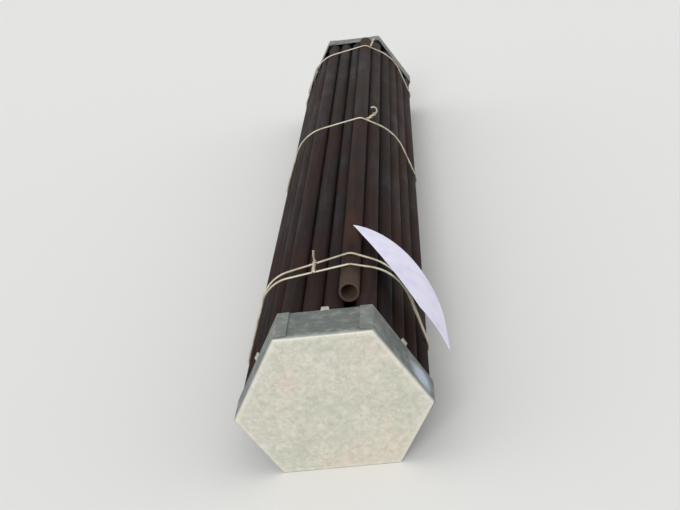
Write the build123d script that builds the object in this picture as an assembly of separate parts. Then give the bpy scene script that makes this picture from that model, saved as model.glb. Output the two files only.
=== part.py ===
"""Bundle of steel pipes: nested rows of pipes with sheet-steel end caps, wire ties and a card tag.

X runs across the bundle, Y along the pipes away from the front cap, Z up. The origin is the middle of
the face that the front cap rests on.
"""
from build123d import *
from math import acos, atan2, cos, hypot, radians, sin, sqrt, tan
import os

# Pipe stock
pipe_od = 44.5
pipe_wall = 4.5
pipe_length = 3000.0
pipe_gap = 0.3

# Nested rows, by the pipes in the top, the widest and the bottom row
top_count = 5
widest_count = 9
bottom_count = 6

# The top row has sprung: its left pipes have rolled right, its right one left, and one rides on both
left_roll = 13.0
right_roll = 6.5
raised_front = 80.0
raised_rear = 45.0

# End caps, folded from sheet, with laps over their corners and lips on their free edges
cap_sheet = 2.5
cap_fit = 0.5
cap_depth = 106.0
cap_lean = 9.0
end_gap = 0.3
bend_radius = 1.0
lap_width = 27.0
lap_setback = 8.0
lip_width = 20.0
lip_length = 9.0
lip_flare = 35.0

# Ties of annealed wire: how far the front and rear ones stand in from the caps' faces, and how far
# the middle one stands behind the bundle's middle
wire_d = 5.0
wire_gap = 0.4
front_tie = 290.0
middle_tie_offset = 64.0
rear_tie = 332.0

# The wire is too stiff to lie on the shoulders. It rounds the left and the right one in arches, each
# given by how far in from the caps' corner and how far below it the centre is, and the radius, in pitches
front_arches = [(0.40, 1.44, 1.67), (0.75, 1.98, 2.46)]
plain_arches = [(1.19, 2.44, 2.68), (1.55, 2.88, 3.35)]

# The front tie's second turn slants back over the raised pipe, and stands a little further off it.
# Down the sides the two turns close up, faster with a higher fade
turn_spacing = 9.0
spread = 61.0
spread_fade = 8
spread_lift = 0.8

# Knots. The two strands of a twist press together: half the distance between them, in wire radii
strand_nest = 0.85
twist_lay = 25.0
twist_length = 32.0
twist_overhang = 5.0
front_knot_x = -31.0
side_knot_x = 70.0
tail_gap = 0.8
spike_length = 28.0
middle_twist_tilt = 30.0
rear_twist_tilt = 62.0
curl_radius = 11.0

# Card tag, curled over the top row's right shoulder: its section, X and Z from the raised pipe's crown,
# and its outline in plan, X from the raised pipe and Y behind the front face
tag_thickness = 1.0
tag_gap = 0.8
tag_crown = (-20.0, 0.0)
tag_shoulder = (116.0, -40.0)
tag_hem = (213.0, -182.0)
tag_far_tip = (3.0, 560.0)
tag_inner_bow = (79.0, 340.0)
tag_near_corner = (147.0, 166.0)
tag_low_tip = (202.0, 106.0)
tag_low_bow = (195.0, 262.0)
tag_outer_bow = (132.0, 439.0)

pipe_r = pipe_od / 2
pitch = pipe_od + pipe_gap
row_rise = pitch * sqrt(3) / 2
wire_r = wire_d / 2
tie_bend = pipe_r + wire_gap + wire_r
lean = radians(cap_lean)

upper_counts = list(range(top_count, widest_count + 1))
lower_counts = list(range(widest_count - 1, bottom_count - 1, -1))
row_counts = upper_counts + lower_counts
row_total = len(row_counts)
widest_row = len(upper_counts)
bottom_row_z = 2 * cap_sheet + cap_fit + pipe_r


def row_z(row):
    """Height of a row's pipe centres. Row 1 is the top one."""
    return bottom_row_z + (row_total - row) * row_rise


def row_centres(row):
    """Pipe centres (x, z) of a nested row, left to right."""
    count = row_counts[row - 1]
    return [((i - (count - 1) / 2) * pitch, row_z(row)) for i in range(count)]


def climb(roll):
    """How far a pipe rises when it rolls out of its valley, up the side of the pipe below it."""
    return sqrt(pitch ** 2 - (pitch / 2 - roll) ** 2) - row_rise


def sprung_top():
    """Centres of the top row's seated pipes, and of the one that rides between the last two."""
    nominal = row_centres(1)
    seated = [(x + left_roll, z + climb(left_roll)) for x, z in nominal[:-2]]
    last_x, last_z = nominal[-1]
    seated.append((last_x - right_roll, last_z + climb(right_roll)))
    (x1, z1), (x2, z2) = seated[-2:]
    span = hypot(x2 - x1, z2 - z1)
    lift = sqrt(pitch ** 2 - span ** 2 / 4)
    raised = ((x1 + x2) / 2 - (z2 - z1) / span * lift, (z1 + z2) / 2 + (x2 - x1) / span * lift)
    return seated, raised


top_seated, raised_centre = sprung_top()

# The hexagon that the insides of both caps follow
hex_top = max(z for x, z in top_seated) + pipe_r + cap_fit
hex_bottom = cap_sheet
hex_mid = row_z(widest_row)
hex_half = row_centres(widest_row)[-1][0] + (pipe_r + cap_fit) * 2 / sqrt(3)
cap_mid = (hex_top + hex_bottom) / 2


def hexagon(grow):
    """Corners (x, z) of the caps' hexagon grown outwards, clockwise from the top left one."""
    half = hex_half + grow * 2 / sqrt(3)
    top, bottom = hex_top + grow, hex_bottom - grow
    half_top = half - (top - hex_mid) / sqrt(3)
    half_bottom = half - (hex_mid - bottom) / sqrt(3)
    return [(-half_top, top), (half_top, top), (half, hex_mid),
            (half_bottom, bottom), (-half_bottom, bottom), (-half, hex_mid)]


# Stations along Y. A face's own Y is the one at mid height
front_face = -(cap_depth + (cap_mid - hex_bottom) * tan(lean)) / 2
cap_to_cap = pipe_length + 2 * end_gap + 2 * cap_sheet / cos(lean) + 2 * pipe_r * tan(lean)
rear_face = front_face + cap_to_cap
front_rim = front_face + cap_depth
rear_rim = rear_face - cap_depth
middle_station = cap_to_cap / 2 + middle_tie_offset
rear_station = cap_to_cap - rear_tie


def lean_shift(z):
    """How far the leaning faces stand forward or back at a height."""
    return -(z - cap_mid) * tan(lean)


def pipe(centre, start, length):
    """One pipe along Y."""
    x, z = centre
    plane = Plane(origin=(x, start, z), x_dir=(1, 0, 0), z_dir=(0, 1, 0))
    return extrude(plane * (Circle(pipe_r) - Circle(pipe_r - pipe_wall)), amount=length).solid()


def pipe_row(centres):
    """Pipes of one row, each with its end just clear of the front cap's leaning face."""
    clear = front_face + cap_sheet / cos(lean) + end_gap
    return [pipe((x, z), clear + lean_shift(z - pipe_r), pipe_length) for x, z in centres]


def raised_pipe():
    """The pipe that rides on the top row, shorter than the rest, between the two caps."""
    start = front_rim + raised_front
    return pipe(raised_centre, start, rear_rim - raised_rear - start)


def prism(section, start, end):
    """A solid with the section [(x, z), ...] from one Y to another."""
    plane = Plane(origin=(0, start, 0), x_dir=(1, 0, 0), z_dir=(0, -1, 0))
    return extrude(plane * make_face(Polyline(*section, close=True)), amount=start - end)


def tray_block(grow, face, rim):
    """The caps' hexagon, grown, from a leaning face to a square rim, with its bends rounded."""
    outward = 1 if face > rim else -1
    overrun = face + outward * (hex_top * tan(lean) + cap_depth)
    block = prism(hexagon(grow), min(overrun, rim), max(overrun, rim))
    face_plane = Plane(origin=(0, face, cap_mid), x_dir=(1, 0, 0),
                       z_dir=(0, outward * cos(lean), outward * sin(lean)))
    block = split(block, bisect_by=face_plane, keep=Keep.BOTTOM)
    rim_face = block.faces().sort_by(Axis.Y)[0 if outward > 0 else -1]
    rim_edges = rim_face.edges()
    bends = [edge for edge in block.edges() if edge not in rim_edges]
    return fillet(bends, bend_radius + grow)


def crossing(a, b, c, d):
    """Where the line through a and b meets the line through c and d."""
    rx, rz = b[0] - a[0], b[1] - a[1]
    sx, sz = d[0] - c[0], d[1] - c[1]
    t = ((c[0] - a[0]) * sz - (c[1] - a[1]) * sx) / (rx * sz - rz * sx)
    return (a[0] + rx * t, a[1] + rz * t)


def lap_section(corner, along, low, high):
    """Section of a lap, the end of one flange bent round a corner to lie on the next flange.

    corner and along number the hexagon's corners: the lap bends at the first and runs towards the
    second. low and high are how far its two faces stand out from the hexagon."""
    near, far = hexagon(low), hexagon(high)
    behind = (2 * corner - along) % len(near)
    root, other = near[corner], near[along]
    length = hypot(other[0] - root[0], other[1] - root[1])
    run = ((other[0] - root[0]) / length, (other[1] - root[1]) / length)
    tip = (root[0] + run[0] * lap_width, root[1] + run[1] * lap_width)
    square = (tip[0] - run[1], tip[1] + run[0])
    tip_skin = crossing(tip, square, far[corner], far[along])
    bend = crossing(root, near[behind], far[corner], far[along])
    return [root, tip, tip_skin, bend]


def flared_lip(a, b, rim, inward):
    """A short lip bent outwards in the middle of the flange from a to b, at its free edge."""
    length = hypot(b[0] - a[0], b[1] - a[1])
    run = ((b[0] - a[0]) / length, 0, (b[1] - a[1]) / length)
    outward = (-run[2], 0, run[0])
    plane = Plane(origin=((a[0] + b[0]) / 2, rim, (a[1] + b[1]) / 2), x_dir=(0, inward, 0),
                  z_dir=Vector(0, inward, 0).cross(Vector(*outward)))
    flare = radians(lip_flare)
    tip = (lip_length * cos(flare), lip_length * sin(flare))
    tip_skin = (tip[0] - cap_sheet * sin(flare), tip[1] + cap_sheet * cos(flare))
    section = [(-cap_sheet, 0), (0, 0), tip, tip_skin, (0, cap_sheet), (-cap_sheet, cap_sheet)]
    return extrude(plane * make_face(Polyline(*section, close=True)), amount=lip_width / 2, both=True)


def end_cap(face, rim):
    """A hexagonal tray folded from sheet. Its side flanges lap over the top one and under the pipes."""
    inward = 1 if rim > face else -1
    cap = tray_block(cap_sheet, face, rim) - tray_block(0, face + inward * cap_sheet / cos(lean), rim)
    outer_laps = [(0, 1), (1, 0), (2, 3), (5, 4)]
    inner_laps = [(3, 4), (4, 3)]
    corners = hexagon(0)
    for corner, along in outer_laps + inner_laps:
        if (corner, along) in outer_laps:
            section = lap_section(corner, along, cap_sheet, 2 * cap_sheet)
        else:
            section = lap_section(corner, along, 0, -cap_sheet)
        start = face + lean_shift(corners[corner][1]) + inward * lap_setback
        cap += prism(section, min(start, rim), max(start, rim))
    for i, a in enumerate(corners):
        b = corners[(i + 1) % len(corners)]
        if a[1] > hex_bottom or b[1] > hex_bottom:
            cap += flared_lip(a, b, rim, inward)
    return cap


def tie_ring(arches):
    """The circles (x, z, radius) that a tie bends round, counter-clockwise from the widest row.

    They are found one direction at a time. Half degrees are never square to a flank, where all of its
    pipes would be equally far out."""
    (left, top), (right, top) = hexagon(0)[:2]
    circles = [(x, z, tie_bend) for x, z in top_seated + [raised_centre]]
    for row in range(2, row_total + 1):
        ends = row_centres(row)
        circles += [(x, z, tie_bend) for x, z in (ends[0], ends[-1])]
    for corner, inward, (inset, drop, radius) in zip((left, right), (1, -1), arches):
        circles.append((corner + inward * inset * pitch, top - drop * pitch, radius * pitch))
    ring = []
    for degree in range(360):
        angle = radians(degree + 0.5)
        outermost = max(circles, key=lambda c: c[0] * cos(angle) + c[1] * sin(angle) + c[2])
        if outermost not in ring:
            ring.append(outermost)
    return ring


def tie_corners(arches):
    """Corners (x, z) where a tie's straight runs meet, each with the radius that rounds it."""
    ring = tie_ring(arches)
    runs = []
    for (ax, az, ar), (bx, bz, br) in zip(ring, ring[1:] + ring[:1]):
        normal = atan2(bz - az, bx - ax) - acos((ar - br) / hypot(bx - ax, bz - az))
        nx, nz = cos(normal), sin(normal)
        runs.append(((ax + nx * ar, az + nz * ar), (bx + nx * br, bz + nz * br)))
    return [(*crossing(*runs[i - 1], *runs[i]), radius) for i, (x, z, radius) in enumerate(ring)]


def tie_route(arches, station, slant=0.0, lift=0.0):
    """Corners of a tie and their radii. Towards the top they are pulled back by slant and up by lift."""
    corners = tie_corners(arches)
    peak_z = max(z for x, z, radius in corners)
    points = []
    for x, z, radius in corners:
        near_top = max(0, (z - hex_mid) / (peak_z - hex_mid)) ** spread_fade
        points.append(Vector(x, front_face + station + slant * near_top, z + lift * near_top))
    return points, [radius for x, z, radius in corners]


def top_run(points, x):
    """Number of the tie's highest run that passes an X, and its point there."""
    passed = []
    for i, a in enumerate(points):
        b = points[(i + 1) % len(points)]
        if min(a.X, b.X) <= x <= max(a.X, b.X):
            passed.append((i, a + (b - a) * ((x - a.X) / (b.X - a.X))))
    return max(passed, key=lambda run: run[1].Z)


def wire_along(path):
    """Wire along a path."""
    return sweep(Plane(origin=path @ 0, z_dir=path % 0) * Circle(wire_r), path=path).solid()


def wire_turn(points, radii, knot_x):
    """One turn of wire round the pipes. Both of its ends are inside the knot."""
    run, knot = top_run(points, knot_x)
    tail = (points[(run + 1) % len(points)] - points[run]).normalized() * tail_gap / 2
    route = [knot + tail] + points[run + 1:] + points[:run + 1] + [knot - tail]
    return wire_along(FilletPolyline(*route, radius=radii[run + 1:] + radii[:run + 1]))


def twist(start, end):
    """Two wires twisted together, between two points."""
    length = (end - start).length
    strands = Sketch() + [Pos(side * strand_nest * wire_r, 0) * Circle(wire_r) for side in (-1, 1)]
    bar = Solid.extrude_linear_with_rotation(strands.face(), (0, 0, 0), (0, 0, length),
                                             360 * length / twist_lay)
    return bar.moved(Plane(origin=start, z_dir=end - start).location)


def tilted(angle):
    """A direction across the bundle, tilted up from +X."""
    return Vector(cos(radians(angle)), 0, sin(radians(angle)))


def side_knot(station):
    """A tie's one turn, and the point beside the raised pipe's crown that its twist stands on."""
    points, radii = tie_route(plain_arches, station)
    run, knot = top_run(points, side_knot_x)
    along = (points[(run + 1) % len(points)] - points[run]).normalized()
    outward = Vector(along.Z, 0, -along.X)
    return wire_turn(points, radii, side_knot_x), knot + outward * wire_r


def front_tie_wire():
    """The front tie: two turns of one wire, spread apart over the raised pipe and twisted together."""
    near, near_radii = tie_route(front_arches, front_tie)
    far, far_radii = tie_route(front_arches, front_tie + turn_spacing, spread, spread_lift)
    near_knot, far_knot = top_run(near, front_knot_x)[1], top_run(far, front_knot_x)[1]
    lift = Vector(0, 0, wire_r)
    overhang = (far_knot - near_knot).normalized() * twist_overhang
    knot_end = far_knot + overhang + lift
    spike_foot = knot_end - overhang / 2
    spike = wire_along(Line(spike_foot, spike_foot + Vector(0, 0, spike_length)))
    turns = wire_turn(near, near_radii, front_knot_x) + twist(near_knot - overhang + lift, knot_end)
    return turns + wire_turn(far, far_radii, front_knot_x) + spike


def middle_tie_wire():
    """The middle tie: one turn, its ends twisted together and curled over."""
    turn_of_wire, foot = side_knot(middle_station)
    direction = tilted(middle_twist_tilt)
    away = tilted(middle_twist_tilt + 90)
    tip = foot + direction * twist_length
    curl = ThreePointArc(tip - direction * wire_r, tip + (direction + away) * curl_radius,
                         tip + away * 2 * curl_radius)
    return turn_of_wire + twist(foot, tip) + wire_along(curl)


def rear_tie_wire():
    """The rear tie: one turn, its ends twisted together and left standing."""
    turn_of_wire, foot = side_knot(rear_station)
    return turn_of_wire + twist(foot, foot + tilted(rear_twist_tilt) * twist_length)


def circle_centre(a, b, c):
    """Centre of the circle through three points."""
    (ax, ay), (bx, by), (cx, cy) = a, b, c
    d = 2 * (ax * (by - cy) + bx * (cy - ay) + cx * (ay - by))
    aa, bb, cc = ax ** 2 + ay ** 2, bx ** 2 + by ** 2, cx ** 2 + cy ** 2
    return ((aa * (by - cy) + bb * (cy - ay) + cc * (ay - by)) / d,
            (aa * (cx - bx) + bb * (ax - cx) + cc * (bx - ax)) / d)


def card_tag():
    """A stiff card, curled in an arc that starts on the raised pipe's crown and hangs past the side."""
    crown_z = raised_centre[1] + pipe_r + tag_gap
    under = [(raised_centre[0] + x, crown_z + z) for x, z in (tag_crown, tag_shoulder, tag_hem)]
    centre = circle_centre(*under)
    curl = hypot(under[0][0] - centre[0], under[0][1] - centre[1])
    grow = (curl + tag_thickness) / curl
    over = [(centre[0] + (x - centre[0]) * grow, centre[1] + (z - centre[1]) * grow) for x, z in under]
    band = Curve() + [ThreePointArc(*under), Line(under[2], over[2]), ThreePointArc(*over),
                      Line(over[0], under[0])]
    plane = Plane(origin=(0, front_face, 0), x_dir=(1, 0, 0), z_dir=(0, -1, 0))
    sheet = extrude(plane * make_face(band.edges()), amount=-2 * tag_far_tip[1])

    def plan(point):
        return (raised_centre[0] + point[0], front_face + point[1])

    outline = Curve() + [ThreePointArc(plan(tag_far_tip), plan(tag_inner_bow), plan(tag_near_corner)),
                         Polyline(plan(tag_near_corner), plan(tag_low_tip), plan(tag_low_bow)),
                         ThreePointArc(plan(tag_low_bow), plan(tag_outer_bow), plan(tag_far_tip))]
    return sheet & extrude(make_face(outline.edges()), amount=2 * crown_z)


def main():
    """Write each piece to its own file in parts/."""
    os.makedirs("parts", exist_ok=True)
    pieces = {
        "end_cap_front": end_cap(front_face, front_rim),
        "end_cap_rear": end_cap(rear_face, rear_rim),
        "pipe_raised": raised_pipe(),
        "pipes_row_1": Compound(children=pipe_row(top_seated)),
        "tie_front": front_tie_wire(),
        "tie_middle": middle_tie_wire(),
        "tie_rear": rear_tie_wire(),
        "card_tag": card_tag(),
    }
    for row in range(2, row_total + 1):
        pieces[f"pipes_row_{row}"] = Compound(children=pipe_row(row_centres(row)))
    for name, shape in pieces.items():
        export_step(shape, f"parts/{name}.step")


if __name__ == "__main__":
    main()
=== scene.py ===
"""The looks of a bundle of steel pipes: its tubes, folded end caps, wire ties and card tag."""

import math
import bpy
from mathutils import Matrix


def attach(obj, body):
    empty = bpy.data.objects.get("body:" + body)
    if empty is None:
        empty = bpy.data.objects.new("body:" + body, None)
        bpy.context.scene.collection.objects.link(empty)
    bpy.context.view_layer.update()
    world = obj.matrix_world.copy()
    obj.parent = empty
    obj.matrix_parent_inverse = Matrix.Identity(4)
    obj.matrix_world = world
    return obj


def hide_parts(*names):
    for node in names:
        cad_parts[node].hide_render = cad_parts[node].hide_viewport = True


bl_info = {
    "name": "Steel Pipe Bundle",
    "version": (1, 0, 0),
    "blender": (4, 5, 0),
    "location": "3D View > Sidebar > Pipe Bundle",
    "description": "Makes the visible pieces of a hexagonal bundle of steel pipes and their finishes",
    "category": "Object",
}

import bpy
import bmesh
from bpy.props import FloatProperty, FloatVectorProperty, IntProperty, PointerProperty
from mathutils import Matrix, Vector, noise

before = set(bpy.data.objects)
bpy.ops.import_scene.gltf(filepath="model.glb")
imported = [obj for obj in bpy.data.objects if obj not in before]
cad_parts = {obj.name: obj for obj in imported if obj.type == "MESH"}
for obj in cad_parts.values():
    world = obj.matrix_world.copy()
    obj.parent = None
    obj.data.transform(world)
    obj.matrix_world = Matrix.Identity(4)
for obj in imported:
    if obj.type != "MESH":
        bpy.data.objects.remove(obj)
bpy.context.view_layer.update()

MM = 0.001


# Places read from the frame

def islands(node):
    """Boxes of the separate solids in a node's mesh, as (lowest corner, highest corner)."""
    mesh = bmesh.new()
    mesh.from_mesh(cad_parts[node].data)
    bmesh.ops.remove_doubles(mesh, verts=mesh.verts, dist=0.001 * MM)
    boxes = []
    waiting = set(mesh.verts)
    while waiting:
        reached = [waiting.pop()]
        members = []
        while reached:
            vert = reached.pop()
            members.append(vert.co.copy())
            for edge in vert.link_edges:
                other = edge.other_vert(vert)
                if other in waiting:
                    waiting.remove(other)
                    reached.append(other)
        low = Vector([min(co[i] for co in members) for i in range(3)])
        high = Vector([max(co[i] for co in members) for i in range(3)])
        boxes.append((low, high))
    mesh.free()
    return sorted(boxes, key=lambda pair: pair[0].x)


def pipe_centre(box):
    """Where a pipe's axis crosses the XZ plane, as a 2-D vector."""
    low, high = box
    return Vector(((low.x + high.x) / 2, (low.z + high.z) / 2))


PIPES = {node: islands(node) for node in sorted(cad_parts) if node.startswith("pipe")}
PIPE_OD = PIPES["pipe_raised"][0][1].x - PIPES["pipe_raised"][0][0].x
RAISED = pipe_centre(PIPES["pipe_raised"][0])
TOP = max(box[1].z for box in PIPES["pipes_row_1"])
WIDEST_ROW = max(PIPES.values(), key=len)
CENTRE = (pipe_centre(WIDEST_ROW[0]) + pipe_centre(WIDEST_ROW[-1])) / 2

# Each end cap's face at mid height along Y, and the way from it to the pipes
FRONT_FACE_Y = -65.853 * MM
CAP_FACES = {"end_cap_front": (FRONT_FACE_Y, 1), "end_cap_rear": (2946.858 * MM, -1)}
CAP_FIT = 0.5 * MM
CAP_DEPTH = 106 * MM
CAP_LEAN = math.radians(9)

# The caps' hexagon has six corners, clockwise from the top left one. A lap is the end of one flange,
# bent round the first corner to lie along the side towards the second, and lies outside it or not
LAPS = [(0, 1, True), (1, 0, True), (2, 3, True), (5, 4, True), (3, 4, False), (4, 3, False)]
# A lap begins this far behind the face and ends this far short of the rim
LAP_SETBACK, LAP_SHORTFALL = 8 * MM, 1 * MM
LIPPED_SIDES = [0, 1, 2, 4, 5]
LIP_FLARE = math.radians(35)
# Laps and lips take less of the flanges' painted shade than the flanges, which take 1
LAP_PAINTED_SHADE, LIP_PAINTED_SHADE = 0.88, 0.35
# The middle of a painted reflection, a pale, cool spot on the front cap's upper right flange
PAINTED_REFLECTION_CENTRE = Vector((187, -15, 187)) * MM

# How strongly clouds of rust colour the pipes, and where along Y the raised pipe's tan front end fades
ROW_RUST, RAISED_RUST = 0.45, 0.85
TAN_END = (150 * MM, 250 * MM)

# Corners of the ties' straight runs in mm, counter-clockwise from the right: X, Z, the radius that
# rounds the corner, and how free of the pipes the wire is there
FRONT_RUNS = [(206.2, 140.6, 25.1, 0), (156.5, 328.1, 110.2, 1), (50.4, 356.9, 25.1, 0),
              (-136.4, 330.4, 74.8, 1), (-206.9, 141.8, 25.1, 0), (-126.5, 2.6, 25.1, 0),
              (126.5, 2.6, 25.1, 0)]
PLAIN_RUNS = [(206.6, 141.3, 25.1, 0), (155.2, 299.8, 150.1, 1), (53.3, 357.6, 25.1, 0),
              (-132.7, 324.3, 120.1, 1), (-207.1, 142.2, 25.1, 0), (-126.5, 2.6, 25.1, 0),
              (126.5, 2.6, 25.1, 0)]
TIE_Y = {"tie_front": 224.15 * MM, "tie_middle": 1504.5 * MM, "tie_rear": 2614.86 * MM}
FRONT_KNOT_X, SIDE_KNOT_X = -31 * MM, 70 * MM
# The front tie's second turn stands behind the first, slants back over the top and is lifted there,
# and its slant fades downwards by a power
TURN_SPACING, TOP_SLANT, TOP_LIFT, SLANT_FADE = 9 * MM, 61 * MM, 0.8 * MM, 8
# A twist runs on past the turns that it joins, or stands by itself, and may curl over
TWIST_OVERHANG, TWIST_LENGTH, CURL_RADIUS = 5 * MM, 32 * MM, 11 * MM
# How far each standing twist tilts up from the right, in degrees, and whether it curls over
SIDE_TWISTS = {"tie_middle": (30, True), "tie_rear": (62, False)}

# The card tag in plan, in mm: X from the raised pipe's axis, Y behind the front face. Each edge is an
# arc through three points, and a straight end to the low tip
TAG_INNER_ARC = [(3, 560), (79, 340), (147, 166)]
TAG_OUTER_ARC = [(3, 560), (132, 439), (195, 262)]
TAG_LOW_TIP = (201.2, 107)
# Its section, the underside's circle: X and Z of its centre, and its radius
TAG_CURL = (34.35 * MM, 121.93 * MM, 232.44 * MM)

# Edges sharper than the first angle are bevelled, and those sharper than the second shaded as edges
BEVEL_ABOVE, CREASE_ABOVE = math.radians(50), math.radians(40)


def linear(colour):
    """An sRGB hex colour as linear red, green, blue and alpha."""
    channels = [int(colour[i:i + 2], 16) / 255 for i in (1, 3, 5)]
    return [c / 12.92 if c <= 0.04045 else ((c + 0.055) / 1.055) ** 2.4 for c in channels] + [1.0]


# Sizes and colours that a user would change

class PipeSettings(bpy.types.PropertyGroup):
    wall: FloatProperty(name="Wall", description="Thickness of the pipe wall",
                        default=4.5 * MM, min=MM, unit="LENGTH")
    edge_break: FloatProperty(name="Edge break", description="Chamfer on the sawn ends",
                              default=0.5 * MM, unit="LENGTH")
    sides: IntProperty(name="Sides", description="Facets round each pipe", default=56, min=12)
    seed: IntProperty(name="Seed", description="Seed for the tone of each pipe", default=4)
    steel: FloatVectorProperty(name="Steel", description="Colour of the palest mill scale", size=4,
                               default=linear("#3F3639"), subtype="COLOR")


class CapSettings(bpy.types.PropertyGroup):
    sheet: FloatProperty(name="Sheet", description="Thickness of the caps' sheet steel",
                         default=2.5 * MM, min=MM, unit="LENGTH")
    fold: FloatProperty(name="Fold", description="Outside radius of the folds",
                        default=3.5 * MM, min=2 * MM, unit="LENGTH")
    lap: FloatProperty(name="Lap", description="How far a flange's end lies along the next flange",
                       default=27 * MM, unit="LENGTH")
    lip: FloatProperty(name="Lip", description="Length of the lips bent out at the rim",
                       default=9 * MM, unit="LENGTH")
    uneven: FloatProperty(name="Unevenness", description="How far the sheet is out of flat",
                          default=0.6 * MM, unit="LENGTH")
    zinc: FloatVectorProperty(name="Zinc", description="Colour of the galvanised sheet", size=4,
                              default=linear("#DAD8D2"), subtype="COLOR")


class TieSettings(bpy.types.PropertyGroup):
    wire: FloatProperty(name="Wire", description="Diameter of the tie wire",
                        default=5 * MM, min=MM, unit="LENGTH")
    waver: FloatProperty(name="Waver", description="How far the hand-bent wire strays where it is free",
                         default=1.6 * MM, unit="LENGTH")
    lay: FloatProperty(name="Lay", description="Length of one turn of the twisted ends",
                       default=25 * MM, min=5 * MM, unit="LENGTH")
    seed: IntProperty(name="Seed", description="Seed for the wire's waver", default=7)
    steel: FloatVectorProperty(name="Wire colour", description="Colour of the annealed wire", size=4,
                               default=linear("#D3CDBE"), subtype="COLOR")


class TagSettings(bpy.types.PropertyGroup):
    thickness: FloatProperty(name="Thickness", description="Thickness of the card",
                             default=0.8 * MM, min=0.2 * MM, unit="LENGTH")
    ripple: FloatProperty(name="Ripple", description="Height of the ripples in the card",
                          default=0.9 * MM, unit="LENGTH")
    white: FloatVectorProperty(name="Card", description="Colour of the card", size=4,
                               default=linear("#F3F0FF"), subtype="COLOR")


class StageSettings(bpy.types.PropertyGroup):
    camera_place: FloatVectorProperty(name="Camera", description="Where the camera stands",
                                      default=(0.2399, -2.5476, 1.3878), subtype="TRANSLATION")
    camera_aim: FloatVectorProperty(name="Aim", description="What the camera points at",
                                    default=(-0.0073, 0.7459, 0.19), subtype="TRANSLATION")
    camera_roll: FloatProperty(name="Roll", description="Turn of the picture's upright",
                               default=math.radians(-7.27), subtype="ANGLE")
    lens: FloatProperty(name="Lens", description="Focal length in mm for a sensor 36 mm wide",
                        default=71.3, min=10)
    floor: FloatVectorProperty(name="Floor", description="Colour of the floor", size=4,
                               default=linear("#EEEDEA"), subtype="COLOR")


# Nodes

BLEND = {"data_type": "RGBA"}
MULTIPLY = {"data_type": "RGBA", "blend_type": "MULTIPLY"}
FLOAT = {"data_type": "FLOAT"}
# Mix and Random Value have several inputs of one name, so these are known by number
MIX_A, MIX_B = 6, 7
RANDOM_MAX = 3


def connect(tree, node, inputs):
    """Fills a node's inputs, each with a value, an output, or a node for its first output in use."""
    for name, value in inputs.items():
        if isinstance(value, bpy.types.Node):
            value = next(output for output in value.outputs if output.enabled)
        if isinstance(value, bpy.types.NodeSocket):
            tree.links.new(value, node.inputs[name])
        else:
            node.inputs[name].default_value = value


def add(tree, kind, settings=None, inputs=None):
    """Adds a node with its settings and inputs.

    The setting stops fills a colour ramp with pairs of a position and a hex colour."""
    node = tree.nodes.new(kind)
    for name, value in (settings or {}).items():
        if name == "stops":
            elements = node.color_ramp.elements
            while len(elements) < len(value):
                elements.new(1.0)
            for element, (position, colour) in zip(elements, value):
                element.position = position
                element.color = linear(colour)
        else:
            setattr(node, name, value)
    connect(tree, node, inputs or {})
    return node


def tinted(tree, colour, pattern, stops, amount=1.0):
    """A colour multiplied by the tints that a pattern picks from colour stops."""
    tint = add(tree, "ShaderNodeValToRGB", {"stops": stops}, {"Fac": pattern})
    return add(tree, "ShaderNodeMix", MULTIPLY, {0: amount, MIX_A: colour, MIX_B: tint})


def new_material(name):
    """A material with only a shader: the material, its node tree, the shader and Object coordinates."""
    material = bpy.data.materials.new(name)
    material.use_nodes = True
    tree = material.node_tree
    return material, tree, tree.nodes["Principled BSDF"], add(tree, "ShaderNodeTexCoord").outputs["Object"]


def new_tree(name, inputs):
    """A geometry tree with named inputs, and the outputs of its input node."""
    tree = bpy.data.node_groups.new(name, "GeometryNodeTree")
    tree.interface.new_socket(name="Geometry", in_out="INPUT", socket_type="NodeSocketGeometry")
    for label, kind in inputs:
        tree.interface.new_socket(name=label, in_out="INPUT", socket_type="NodeSocket" + kind)
    tree.interface.new_socket(name="Geometry", in_out="OUTPUT", socket_type="NodeSocketGeometry")
    return tree, add(tree, "NodeGroupInput").outputs


def end_tree(tree, given, geometry):
    """Ends a geometry tree: makes its instances real and gives them the finish."""
    real = add(tree, "GeometryNodeRealizeInstances", inputs={"Geometry": geometry})
    finished = add(tree, "GeometryNodeSetMaterial", inputs={"Geometry": real, "Material": given["Finish"]})
    add(tree, "NodeGroupOutput", inputs={"Geometry": finished})
    return tree


# Finishes

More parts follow.
